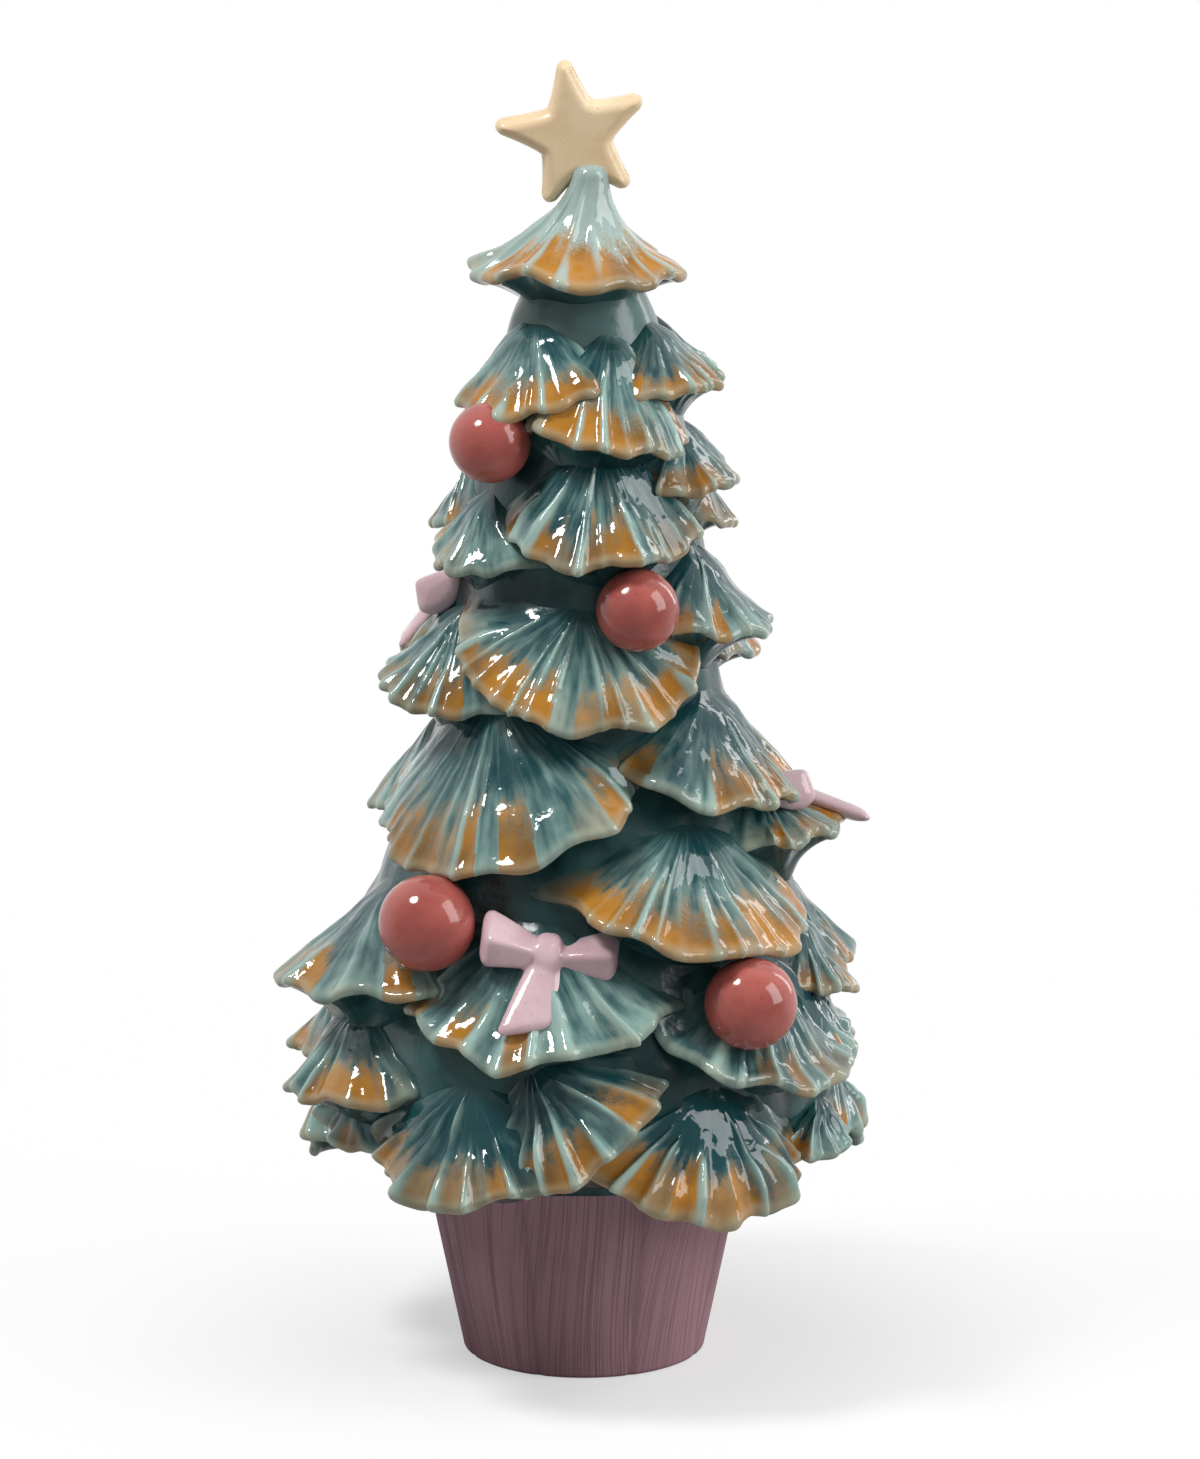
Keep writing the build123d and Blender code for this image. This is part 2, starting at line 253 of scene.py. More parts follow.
def pale_floor(reach, solid_reach):
    """A round pale floor that fades out before its edge."""
    corners = 96
    angles = [2 * math.pi * step / corners for step in range(corners)]
    mesh = bpy.data.meshes.new("floor")
    points = [(reach * math.cos(angle), reach * math.sin(angle), 0.0) for angle in angles]
    mesh.from_pydata(points, [], [list(range(corners))])
    floor = bpy.data.objects.new("floor", mesh)
    scene.collection.objects.link(floor)
    material = bpy.data.materials.new("pale_floor")
    material.use_nodes = True
    board = Board(material.node_tree)
    material.node_tree.nodes.remove(material.node_tree.nodes["Principled BSDF"])
    place = board.node("ShaderNodeTexCoord", output="Object")
    distance = board.node("ShaderNodeVectorMath", {"operation": "LENGTH"}, {0: place}, "Value")
    seen = board.node("ShaderNodeLightPath", output="Is Camera Ray")
    dim = board.node("ShaderNodeBsdfDiffuse", {}, {"Color": paper_felt})
    white = board.node("ShaderNodeBsdfDiffuse", {}, {"Color": paper_seen})
    paper = board.node("ShaderNodeMixShader", {}, {0: seen, 1: dim, 2: white})
    glow = board.node("ShaderNodeEmission", {}, {"Color": (1, 1, 1, 1), "Strength": 1.0})
    clear = board.node("ShaderNodeBsdfTransparent")
    share = seen * (glow_at_foot + distance.fade(foot, open_floor) * glow_gain)
    lit = board.node("ShaderNodeMixShader", {}, {0: share, 1: paper, 2: glow})
    edge = distance.fade(solid_reach, reach)
    faded = board.node("ShaderNodeMixShader", {}, {0: edge, 1: lit, 2: clear})
    board.feed(material.node_tree.nodes["Material Output"].inputs["Surface"], faded)
    mesh.materials.append(material)


pale_floor(reach=0.30, solid_reach=0.05)

# %% [markdown]
# ## Closed sheets of clay
# Nearly every piece here is a closed skin that can be unrolled into a grid: rings from one pole to
# the other. Writing the rings as arrays gives full control over ribs and lips, and the same grid is
# a ready map for the glaze to be baked on. A subdivided box would need sculpting by hand for the
# same folds.


# %% Rings and their faces
def turned(radius, height, turn):
    """Rings about an upright axis."""
    return np.stack([radius * np.cos(turn), radius * np.sin(turn), height + 0 * turn], axis=-1)


def ring_faces(rows, columns, first=0):
    """The faces round a stack of rings, whose points come after one pole and before the other."""
    index = first + 1 + np.arange(rows * columns).reshape(rows, columns)
    after = np.roll(index, -1, axis=1)
    last = first + 1 + rows * columns
    faces = [(first, beside, here) for here, beside in zip(index[0], after[0])]
    for row in range(rows - 1):
        faces += zip(index[row], after[row], after[row + 1], index[row + 1])
    faces += [(last, here, beside) for here, beside in zip(index[-1], after[-1])]
    return [[int(corner) for corner in face] for face in faces]


def unroll(mesh, rows, columns):
    """Lay those faces out as a flat grid, row by row."""
    flat = []
    for row in range(-1, rows):
        low, high = (row + 1) / (rows + 1), (row + 2) / (rows + 1)
        for column in range(columns):
            left, right = column / columns, (column + 1) / columns
            if row == -1:
                flat += [(left + right) / 2, low, right, high, left, high]
            elif row == rows - 1:
                flat += [(left + right) / 2, high, left, low, right, low]
            else:
                flat += [left, low, right, low, right, high, left, high]
    layer = mesh.uv_layers.new(name="OFBake")
    layer.data.foreach_set("uv", np.array(flat, dtype=np.float32))


# %% Rings to a piece
def clay_skin(name, rings, poles, finish, **marks):
    """A closed piece from rings of points in millimetres and two poles, with marks on its points."""
    rows, columns = rings.shape[:2]
    points = np.concatenate([poles[:1], rings.reshape(-1, 3), poles[1:]]) * MM
    mesh = bpy.data.meshes.new(name)
    mesh.from_pydata(points.tolist(), [], ring_faces(rows, columns))
    for mark, values in marks.items():
        whole = np.concatenate([[values[0].mean()], values.ravel(), [values[-1].mean()]])
        mesh.attributes.new(mark, "FLOAT", "POINT").data.foreach_set("value", whole.astype(np.float32))
    unroll(mesh, rows, columns)
    mesh.shade_smooth()
    if signed_volume(mesh) < 0:
        mesh.flip_normals()
    mesh.materials.append(finish)
    piece = bpy.data.objects.new(name, mesh)
    scene.collection.objects.link(piece)
    return piece


def signed_volume(mesh):
    """The volume inside a closed mesh, negative where its faces look inwards."""
    total = 0.0
    for face in mesh.polygons:
        first, *others = [mesh.vertices[corner].co for corner in face.vertices]
        for second, third in zip(others, others[1:]):
            total += first.dot(second.cross(third)) / 6
    return total


def settle(piece, node):
    """Let a piece stand for its CAD node."""
    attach(piece, "root")
    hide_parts(node)
    return piece


# %% Soft steps and swells
def rise(value, low, high):
    """The smooth step of a shader, on arrays."""
    share = np.clip((value - low) / (high - low), 0, 1)
    return share * share * (3 - 2 * share)


def swell(points, size, seed):
    """A soft unevenness of about -1 to 1, with bumps about size millimetres apart."""
    chance = np.random.default_rng(seed)
    total = np.zeros(points.shape[:-1])
    waves = 7
    for _ in range(waves):
        direction = chance.normal(size=3)
        direction *= 2 * math.pi / size / np.linalg.norm(direction) * chance.uniform(0.6, 1.3)
        total += np.sin(points @ direction + chance.uniform(0, 2 * math.pi))
    return total / 4


# %% [markdown]
# ## The green glaze
# One glaze covers the boughs, the crown and the core. It runs off the ridges and pools in the
# flutes, so ridges are pale and flutes are teal. Golden brown is sprayed into the flutes near the
# lips, and the lip itself is pale where the glaze thins over the edge. The undersides of the lips,
# the clay near the core and the core's necks are painted a dark teal as shade, and each fan is
# painted darker towards its root, also as shade. Each point of the clay carries marks for this: how
# far it is from the bough's root, how near a ridge, how far off the core, and a number for its
# flute. Painted images would need a map for each bough, and marks let one set of nodes serve them
# all.


# %% Green glaze
def green_glaze():
    material, board, shader = new_finish("green_glaze", {"IOR": 1.5, "Specular IOR Level": 0.5})
    reach = board.attribute("reach")
    rib = board.attribute("rib")
    lift = board.attribute("lift")
    flute = board.attribute("flute")
    across = board.attribute("across")
    pale = board.attribute("pale")
    place = board.node("ShaderNodeTexCoord", output="Object")
    cloud = board.noise(place, 110, 3)
    grain = board.noise(place, 2600, 2)
    along_flutes = board.node("ShaderNodeCombineXYZ", {}, {0: across * 1.6, 1: reach * 2.2, 2: flute})
    run = board.noise(along_flutes, 1.5, 3)

    # The reach term makes each fan darker towards its root at the core, which is painted shade; rib, run,
    # cloud and pale give the glaze's own tone.
    thin = (rib * 0.6 + run * 0.8 + cloud * 0.6 + pale * 0.35 + reach * 0.4).fade(0.78, 1.5)
    tone = board.mix(thin, colour(26, 74, 79), colour(158, 192, 184))
    tone = board.mix(pale.fade(0.5, 1.0) * 0.8, tone, colour(172, 192, 186))
    ridge = rib.fade(0.45, 0.9) * reach.fade(0.15, 0.5) * run
    tone = board.mix(ridge, tone, colour(172, 194, 184))
    spray = reach + (grain - 0.5) * 0.3 + (run - 0.5) * 0.5 + (cloud - 0.5) * 0.5 + flute * 0.2
    spray = spray.fade(0.78, 1.06)
    gold = spray * flute.fade(0.2, 0.6) * (1 - rib.fade(0.2, 0.6) * 0.9)
    golden = board.mix(cloud.fade(0.35, 0.65), colour(138, 98, 42), colour(190, 130, 44))
    tone = board.mix(gold, tone, golden)
    lip = reach.fade(0.95, 1.02) * (1 - reach.fade(1.05, 1.12)) * (0.3 + rib * 0.6)
    tone = board.mix(lip, tone, colour(180, 188, 166))
    # Painted shade: the undersides of the lips are painted a dark teal, as they lie in shadow.
    neck_shade = board.mix(cloud.fade(0.35, 0.65), colour(12, 48, 51), colour(44, 88, 87))
    tone = board.mix(reach.fade(1.04, 1.16), tone, neck_shade)
    # Painted shade: clay close to the core, and the core itself, are painted this dark teal, paler near
    # the core's top where the pale mark rises.
    shade_near_core = board.mix(pale.fade(0.0, 1.0) * 0.45, neck_shade, colour(126, 156, 152))
    tone = board.mix((1 - lift.fade(0.0, 0.6)) * 0.85, tone, shade_near_core)

    board.feed(shader.inputs["Base Color"], tone)
    board.feed(shader.inputs["Roughness"], 0.04 + cloud * 0.06 + (1 - lift.fade(0.0, 0.5)) * 0.16)
    ripple = board.noise(place, 460, 2)
    board.raise_surface(shader, ripple, strength=0.2, distance=0.0006)
    return material


green = green_glaze()
print("made", green.name, "with", len(green.node_tree.nodes), "nodes")

# %% [markdown]
# ## The core
# The core is the hollow cone that everything is luted to. Only its necks show, between the boughs.
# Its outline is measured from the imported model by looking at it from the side, level by level, so
# the dressed pieces sit on the same surface as the solids do. A ready-made cone would be quicker,
# but the boughs wouldn't meet it.


# %% Measure the core
off_seam = 0.0001  # so that no ray runs along a seam of the mesh


def measure_core(step):
    """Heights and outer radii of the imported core, in millimetres."""
    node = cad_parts["tree_core"]
    tree = BVHTree.FromPolygons(
        [corner.co for corner in node.data.vertices], [face.vertices for face in node.data.polygons]
    )
    low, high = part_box("tree_core")
    heights = np.arange(low.z / MM + step / 2, high.z / MM, step)
    radii = []
    for height in heights:
        hit = tree.ray_cast(Vector((1.0, off_seam, height * MM)), Vector((-1, 0, 0)))[0]
        radii.append(hit.x / MM)
    return heights, np.array(radii)


core_heights, core_radii = measure_core(step=0.5)
pot_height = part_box("pot")[1].z / MM
above_rim = core_heights > pot_height + 1
window = 17  # levels that are smoothed together
smoothing = np.hanning(window) / np.hanning(window).sum()
padded = np.pad(core_radii[above_rim], window // 2, mode="edge")
smooth_radii = np.convolve(padded, smoothing, mode="valid")
print("core measured at", len(core_heights), "levels, widest", round(core_radii.max(), 1), "mm")


# %% The core's surface
def core_radius(height):
    return np.interp(height, core_heights, core_radii)


def core_surface(height):
    """The core's smoothed radius, which shrinks away to nothing above its top."""
    above_top = np.maximum(height - core_heights[-1], 0)
    return np.interp(height, core_heights[above_rim], smooth_radii) - 3 * above_top


def core_bulge(points):
    """How the hand-finished core is uneven: a factor on its radius."""
    return 1 + 0.022 * swell(points, 15, 3) + 0.012 * swell(points, 7, 4)


# %% Core skin
core_wall = 3.0
pale_neck = (34, 8)  # the core grows pale between these depths below its top


def core_skin():
    """The hollow core, from the top of its hollow down, under the spigot and up the outside."""
    columns = 160
    low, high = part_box("tree_core")
    spigot_low, top = low.z / MM, high.z / MM
    spigot_radius = core_radii[core_heights < pot_height - 1].mean()
    outer_heights = np.linspace(pot_height + 0.6, top, 150)
    inner_heights = np.linspace(top - 2.5 * core_wall, pot_height + core_wall, 60)
    profile = [(core_surface(z) - core_wall, z) for z in inner_heights]
    profile += [(spigot_radius - core_wall, pot_height), (spigot_radius - core_wall, spigot_low)]
    profile += [(spigot_radius, spigot_low), (spigot_radius, pot_height + 0.2)]
    profile += [(core_surface(z), z) for z in outer_heights]
    radius, height = np.array(profile).T
    turn = np.linspace(0, 2 * math.pi, columns, endpoint=False)
    rings = turned(radius[:, None], height[:, None], turn)
    outside = np.arange(len(radius)) >= len(radius) - len(outer_heights)
    rings[outside, :, :2] *= core_bulge(rings[outside])[..., None]
    poles = np.array([[0, 0, inner_heights[0] + 1], [0, 0, top]])
    zero = np.zeros(rings.shape[:2])
    pale = rise(rings[..., 2], top - pale_neck[0], top - pale_neck[1])
    # A reach past the lips and a lift of zero give the core the dark teal of the painted shade.
    marks = {"reach": zero + 1.5, "rib": zero, "lift": zero, "flute": zero, "across": zero, "pale": pale}
    return clay_skin("core_skin", rings, poles, green, **marks)


core = settle(core_skin(), "tree_core")
print("core skin has", len(core.data.polygons), "faces")

# %% [markdown]
# ## The boughs
# A bough is a fan of clay pinched into ribs: a bell about its own slanting axis, of which the front
# part stands out of the core. The same few numbers place each one here and in the solids. The ribs
# are uneven on purpose, because fingers made them: each has its own width, height and start, and
# runs out into the wavy lip. Near the core and at its two sides the clay is smeared down so that no
# hard edge is left, as a potter does with a wet brush. Sculpting would give the same folds, but one
# function and a row of numbers for each keep all forty-five in step with the solids.

# %% Where the boughs sit
# azimuth, height above the rim, lean, length, half angle of the bell, tilt into the core
boughs = {
    "2a": (-43, 125, 6, 17.6, 52, 30),
    "2b": (65, 124, 0, 15.0, 51, 19),
    "2c": (22, 124, -7, 21.0, 41, 20),
    "2d": (122, 124, 0, 16.0, 52, 22),
    "2e": (-150, 122, 0, 17.0, 52, 24),
    "3a": (67, 110, 2, 13.8, 52, 17),
    "3b": (10, 109, 0, 21.5, 48, 20),
    "3c": (-60, 100, 0, 14.5, 51, 17),
    "3d": (125, 104, 0, 16.0, 52, 20),
    "3e": (178, 106, 0, 16.0, 52, 20),
    "3f": (-118, 104, 0, 16.0, 52, 20),
    "4a": (69, 92, -4, 18.3, 53, 12),
    "4b": (-1, 85.5, -3, 21.0, 71, 43),
    "4c": (-70, 83, -8, 19.0, 52, 11),
    "4d": (128, 86, 0, 19.0, 53, 18),
    "4e": (-174, 88, 0, 19.0, 53, 18),
    "4f": (-116, 86, 0, 18.0, 53, 18),
    "5a": (-41, 72, 6, 29.0, 57, 34),
    "5b": (63, 72, -6, 23.0, 60, 27),
    "5c": (86, 56, -5, 17.0, 63, 13),
    "5d": (132, 66, 4, 24.0, 54, 24),
    "5e": (-172, 68, 0, 24.0, 54, 24),
    "5f": (-115, 66, -4, 20.5, 54, 24),
    "6a": (39, 55, -9, 25.5, 59, 32),
    "6b": (-74, 44, 8, 25.5, 53, 20),
    "6c": (80, 37, -3, 14.0, 49, 24),
    "6d": (116, 41, 0, 21.0, 52, 26),
    "6e": (168, 45, 0, 26.0, 54, 28),
    "6f": (-136, 44, 0, 26.0, 54, 28),
    "7a": (-15, 44, 1, 26.7, 52, 37),
    "7b": (54, 35, -7, 25.0, 57, 39),
    "7c": (71, 27, -3, 12.5, 49, 24),
    "7d": (-67, 27, 4, 19.5, 52, 26),
    "7e": (128, 27, 0, 22.0, 53, 30),
    "7f": (178, 28, 0, 22.0, 53, 30),
    "7g": (-118, 27, 0, 21.0, 53, 30),
    "8a": (-26, 20, 5, 21.0, 58, 33),
    "8b": (-13, 23, 36, 20.0, 56, 38),
    "8c": (31, 19, -6, 22.5, 57, 30),
    "8d": (69, 12, 5, 11.0, 51, 15),
    "8e": (-61, 16, -15, 12.0, 50, 22),
    "8f": (107, 15, 0, 18.0, 52, 22),
    "8g": (152, 14, 0, 18.0, 52, 22),
    "8h": (-158, 15, 0, 19.0, 52, 22),
    "8i": (-106, 14, 0, 18.0, 52, 22),
}
rib_pitch = {"2": 3.5, "3": 3.7, "4": 4.0, "5": 4.2, "6": 4.4, "7": 4.6, "8": 5.2}
rib_height = {"2": 1.2, "3": 1.2, "4": 1.2, "5": 1.3, "6": 1.4, "7": 1.4, "8": 2.6}
print("boughs placed:", len(boughs), "in", len(rib_pitch), "tiers")

# %% How a bough sits on the core
root_depth = 1.0
slope_span = 4.0


def core_frame(azimuth, height):
    """A point on the core, with the directions out of it, down along it and to the right."""
    turn = math.radians(azimuth)
    outward = np.array([math.sin(turn), -math.cos(turn), 0])
    right = np.array([math.cos(turn), math.sin(turn), 0])
    level = pot_height + height
    slope = (core_radius(level - slope_span / 2) - core_radius(level + slope_span / 2)) / slope_span
    lean_back = math.hypot(1, slope)
    down = (outward * slope - [0, 0, 1]) / lean_back
    out = (outward + [0, 0, slope]) / lean_back
    return outward * core_radius(level) + [0, 0, level], out, down, right


def bough_axes(azimuth, height, lean, tilt):
    """The root of a bough, its axis, the direction away from the core and the one to its side."""
    point, out, down, right = core_frame(azimuth, height)
    lean, tilt = math.radians(lean), math.radians(tilt)
    along = down * math.cos(lean) + right * math.sin(lean)
    axis = along * math.cos(tilt) - out * math.sin(tilt)
    away = out * math.cos(tilt) + along * math.sin(tilt)
    return point - out * root_depth, axis, away, np.cross(axis, away)


# %% [markdown]
# ### Ribs and lip
# The fan is worked out on a grid of turn about its axis by reach from root to lip. Ribs are raised
# along the surface's own normal, the lip is a half round, and the underside runs back into the core
# in a hollow curve. A texture could push ribs out of a smooth fan too, but its lip wouldn't follow
# them.

# %% Smear the clay
smear = 4.0  # how near the core the clay is eased on to it
melt = 5.0  # how far down a fan goes where its sides end
buried = (-9, -3)  # deeper than the first the clay stays, and above the second it is eased in full


def smear_into_core(points, stand, sink):
    """Ease points on to the core, wholly where they don't stand out, and give their distance from it."""
    height = points[..., 2]
    across = np.hypot(points[..., 0], points[..., 1]) / core_bulge(points)
    slope = (core_surface(height - 2) - core_surface(height + 2)) / 4
    lean_back = np.hypot(1, slope)
    gap = (across - core_surface(height)) / lean_back
    lowered = gap * stand - melt * (1 - stand)
    eased = smear * (np.logaddexp(0, lowered / smear) - sink)
    shift = (eased - gap) * rise(gap, *buried)
    outward = points[..., :2] / np.maximum(across, 0.01)[..., None]
    moved = points.copy()
    moved[..., :2] += outward * (shift / lean_back)[..., None]
    moved[..., 2] += shift * slope / lean_back
    return moved, gap + shift


# %% Turns and ribs
grid_step = 0.42  # between two points of a lip
crest_sharpness = 2.4


def fan_turns(lip_radius, spread):
    """Turns about the axis, dense in front and few behind, with their size and how far they stand out."""
    if spread is None:
        number = int(2 * math.pi * lip_radius / grid_step)
        turns = np.linspace(-math.pi, math.pi, number, endpoint=False)
        return turns, np.ones_like(turns), np.ones_like(turns)
    left, right = (math.radians(angle) for angle in spread)
    front = np.linspace(-right, left, int((left + right) * lip_radius / grid_step))
    behind = np.linspace(left, 2 * math.pi - right, 20)[1:-1]
    turns = (np.concatenate([front, behind]) + math.pi) % (2 * math.pi) - math.pi
    limit = np.where(turns > 0, left, right)
    size = 1 - 0.5 * rise(np.abs(turns), limit * 0.85, limit * 1.3)
    return turns, size, 1 - rise(np.abs(turns), limit * 0.55, limit)


def rib_pattern(turns, reach, count, weakest, chance):
    """Where the ribs of a fan rise, the number of each flute and a coordinate that counts the ribs."""
    widths = chance.uniform(0.4 + 0.4 * weakest, 1.7 - 0.4 * weakest, count)
    edges = np.concatenate([[0], np.cumsum(widths)])
    edges = edges / edges[-1] * 2 * math.pi - math.pi
    wander = 0.7 / count * np.sin(3 * turns + 4 * reach + chance.uniform(0, 6))
    across = np.interp(turns + wander, edges, np.arange(count + 1))
    rib_index = np.floor(across).astype(int) % count
    flute_index = np.round(across).astype(int) % count
    crest = (0.5 - 0.5 * np.cos(2 * math.pi * across)) ** crest_sharpness
    strength = chance.uniform(weakest, 1.0, count)[rib_index]
    start = chance.uniform(0.05, 0.75, count)[rib_index]
    flute = chance.uniform(0, 1, count)[flute_index]
    pace = chance.uniform(4, 9, count)[rib_index]
    beat = 0.7 + 0.3 * np.sin(reach * pace + chance.uniform(0, 6, count)[rib_index])
    return crest * strength * beat * rise(reach, start, start + 0.35), flute, across


def soft_waves(turns, times, chance):
    """A sum of a few waves round the axis."""
    return sum(chance.uniform(0.5, 1) * np.sin(number * turns + chance.uniform(0, 6)) for number in times)


# %% Lip and underside
lip_thickness = 1.8
under_share, under_run = 0.8, 0.62  # how far the underside closes in, and how far it runs on meanwhile


def rolled_lip(depth, radius, up_depth, up_radius):
    """The half round of a lip: depths, radii and the bend from its face to its underside."""
    bend = np.linspace(0, math.pi, 9)[1:, None]
    half = lip_thickness / 2
    out_depth, out_radius = up_radius, -up_depth
    round_depth = np.cos(bend) * up_depth + np.sin(bend) * out_depth
    round_radius = np.cos(bend) * up_radius + np.sin(bend) * out_radius
    lip_depths = depth - half * up_depth + half * round_depth
    return lip_depths, radius - half * up_radius + half * round_radius, bend


def hollow_underside(depth, radius, front, lip_radius):
    """The way from a lip back to the axis: depths, radii and the share of the way."""
    back = np.linspace(0, 1, 24)[1:, None]
    plain_depth, plain_radius = (depth / front).mean() * front, (radius / front).mean() * front
    ease = (1 - back) ** 2
    closing = (plain_radius + (radius - plain_radius) * ease) * (1 - under_share * back)
    run_on = under_share * lip_radius * under_run * back**1.3
    return plain_depth + (depth - plain_depth) * ease + run_on, closing, back


# %% A fan of clay
row_step = 0.45
fewest_ribs = 8
lip_wave = 0.026  # of the reach
rib_overhang = 1.1
droop_span = (0.65, 1.05)  # of the reach
root_rounding = 0.12  # of the reach
fold_height = 0.4
bump_height, bump_size = 0.16, 6.0
dimple_height, dimple_size = 0.05, 2.5
root_sink = 0.34  # of the smear
shade_free_gap = 3  # clay this far off the core is clear of its painted shade
pattern_step = 31.7  # so that no two fans share their streaks


def clay_fan(
    name, axes, root_radius, lip_radius, lip_depth, flare, pitch, height, seed, spread=None,
    shoulder=0.0, droop=0.05, front_lift=0.0, weakest=0.1, gold=(0.0, 1.0), pale=0.0, blend=True
):
    """A ribbed bell about an axis, whole or with only its front spread out."""
    chance = np.random.default_rng(seed)
    origin, axis, away, side = axes
    turns, front, stand = fan_turns(lip_radius, spread)
    length = math.hypot(lip_radius, lip_depth)
    reach = np.linspace(0.03, 1, int(length / row_step) + 10)[:, None]
    count = max(fewest_ribs, round(2 * math.pi * lip_radius / pitch))
    rib, flute, across = rib_pattern(turns, reach, count, weakest, chance)

    waves = soft_waves(turns, (2, 3, 5, 8, 11), chance)
    folds = soft_waves(turns, (4, 6, 9), chance)
    stretch = 1 + reach**4 * (lip_wave * waves + rib_overhang / length * (rib[-1] - 0.3))
    flare = flare - shoulder * np.sin(turns) ** 2
    depth = lip_depth * (reach * stretch + droop * rise(reach, *droop_span) ** 2) * front
    depth = depth - front_lift * np.clip(np.cos(turns), 0, 1) ** 2 * reach**2
    rounding = np.sqrt(1 - np.clip(1 - reach / root_rounding, 0, 1) ** 2)
    radius = (root_radius * rounding + (lip_radius - root_radius) * reach**flare) * stretch * front
    slant_depth, slant_radius = np.gradient(depth, axis=0), np.gradient(radius, axis=0)
    slant = np.hypot(slant_depth, slant_radius)
    up_depth, up_radius = -slant_radius / slant, slant_depth / slant
    spokes = np.cos(turns)[:, None] * away + np.sin(turns)[:, None] * side
    plain = origin + depth[..., None] * axis + radius[..., None] * spokes
    bumps = bump_height * swell(plain, bump_size, seed)
    bumps = bumps + dimple_height * swell(plain, dimple_size, seed + 500)
    relief = height * rib * (0.35 + 0.65 * reach) + fold_height * folds * reach**2
    relief = (relief + bumps * rise(reach, 0.02, 0.2)) * front
    depth, radius = depth + relief * up_depth, radius + relief * up_radius

    lip_d, lip_r, bend = rolled_lip(depth[-1], radius[-1], up_depth[-1], up_radius[-1])
    under_d, under_r, back = hollow_underside(lip_d[-1], lip_r[-1], front, lip_radius)
    depth = np.concatenate([depth, lip_d, under_d])
    radius = np.concatenate([radius, lip_r, under_r])
    points = origin + depth[..., None] * axis + radius[..., None] * spokes
    reach = [reach[:, 0], 1 + 0.1 * bend[:, 0] / math.pi, 1.1 + 0.9 * back[:, 0]]
    reach = np.concatenate(reach)[:, None]
    gap = 0 * radius + shade_free_gap
    if blend:
        sink = root_sink + root_sink * (1 - rise(reach, 0.02, 0.4))
        points, gap = smear_into_core(points, stand, sink)
    poles = [origin + axis * depth[0].mean() * 0.5, origin + axis * (depth[-1].mean() + 0.5)]

    def carried_under(mark):
        return np.concatenate([mark, np.repeat(mark[-1:], len(lip_d) + len(under_d), axis=0)])

    return clay_skin(
        name,
        points,
        np.array(poles),
        green,
        reach=reach + 0 * radius,
        rib=carried_under(rib),
        lift=np.clip(gap / shade_free_gap, 0, 1),
        flute=gold[0] + (gold[1] - gold[0]) * carried_under(flute),
        across=carried_under(across) + pattern_step * seed,
        pale=0 * radius + pale,
    )


# %% All the boughs
lip_share = 0.94  # of the length, up to where the lip rolls over
fan_flare = 1.3
fan_shoulder = 0.35
fan_gold = (0.0, 0.85)  # least and most
fan_spread = {"2": 130, "3": 130, "4": 130, "5": 125, "6": 125, "7": 120, "8": 130}  # to each side
# What differs from the rest: how far it goes round to the left and to the right, the droop of its lip,
# its weakest rib, its least and most gold, and its paleness.
uncommon = {
    "2a": {"spread": (130, 115), "gold": (0.35, 1.1), "pale": 0.35},
    "2c": {"spread": (115, 130), "gold": (0.2, 1.1), "pale": 0.35},
    "3b": {"spread": (115, 125), "gold": (0.2, 1.0)},
    "4b": {"spread": (120, 120), "gold": (0.15, 1.0), "pale": 0.25},
    "5a": {"spread": (125, 110), "gold": (0.05, 0.8), "pale": 0.1},
    "5b": {"spread": (110, 125), "gold": (0.2, 1.0)},
    "6a": {"spread": (115, 125), "gold": (0.35, 1.1), "pale": 0.2},
    "7a": {"droop": -0.10, "gold": (0.0, 0.6), "pale": 0.15},
    "7b": {"droop": -0.16, "gold": (0.0, 0.5), "pale": -0.2},
    "8a": {"droop": 0.12, "weakest": 0.5, "gold": (0.25, 1.0), "pale": -0.35},
    "8b": {"spread": (130, 85), "droop": 0.2, "weakest": 0.5, "gold": (0.2, 1.0), "pale": -0.2},
    "8c": {"droop": 0.1, "weakest": 0.5, "gold": (0.1, 0.9), "pale": -0.3},
}

for order, (label, (azimuth, height, lean, length, half_angle, tilt)) in enumerate(boughs.items()):
    tier = label[0]
    traits = {"spread": (fan_spread[tier], fan_spread[tier]), "shoulder": fan_shoulder, "gold": fan_gold}
    traits.update(uncommon.get(label, {}))
    bough = clay_fan(
        f"bough_{label}_skin",
        bough_axes(azimuth, height, lean, tilt),
        root_radius=0.0,
        lip_radius=lip_share * length * math.sin(math.radians(half_angle)),
        lip_depth=lip_share * length * math.cos(math.radians(half_angle)),
        flare=fan_flare,
        pitch=rib_pitch[tier],
        height=rib_height[tier],
        seed=order + 1,
        **traits,
    )
    settle(bough, f"bough_{label}")
print("boughs:", len(boughs))

# %% [markdown]
# ## The crown
# The crown is the same fan of clay gone all the way round: a little skirt whose top is pulled up
# into the tip that holds the star. A spun profile would come out even, and the fan has uneven
# flutes and a wavy lip already. Its tip is then pulled over to one side, as the real one leans.

# %% Crown
tip_rounding = 0.7
crown_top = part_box("crown")[1].z / MM - tip_rounding
crown_lip_depth = 16.2
crown_lip_radius = 14.6
crown_tip_radius = 2.4
crown_shift = np.array([-0.9, 0, 0])
tip_shift = np.array([1.9, -1.4, 0])

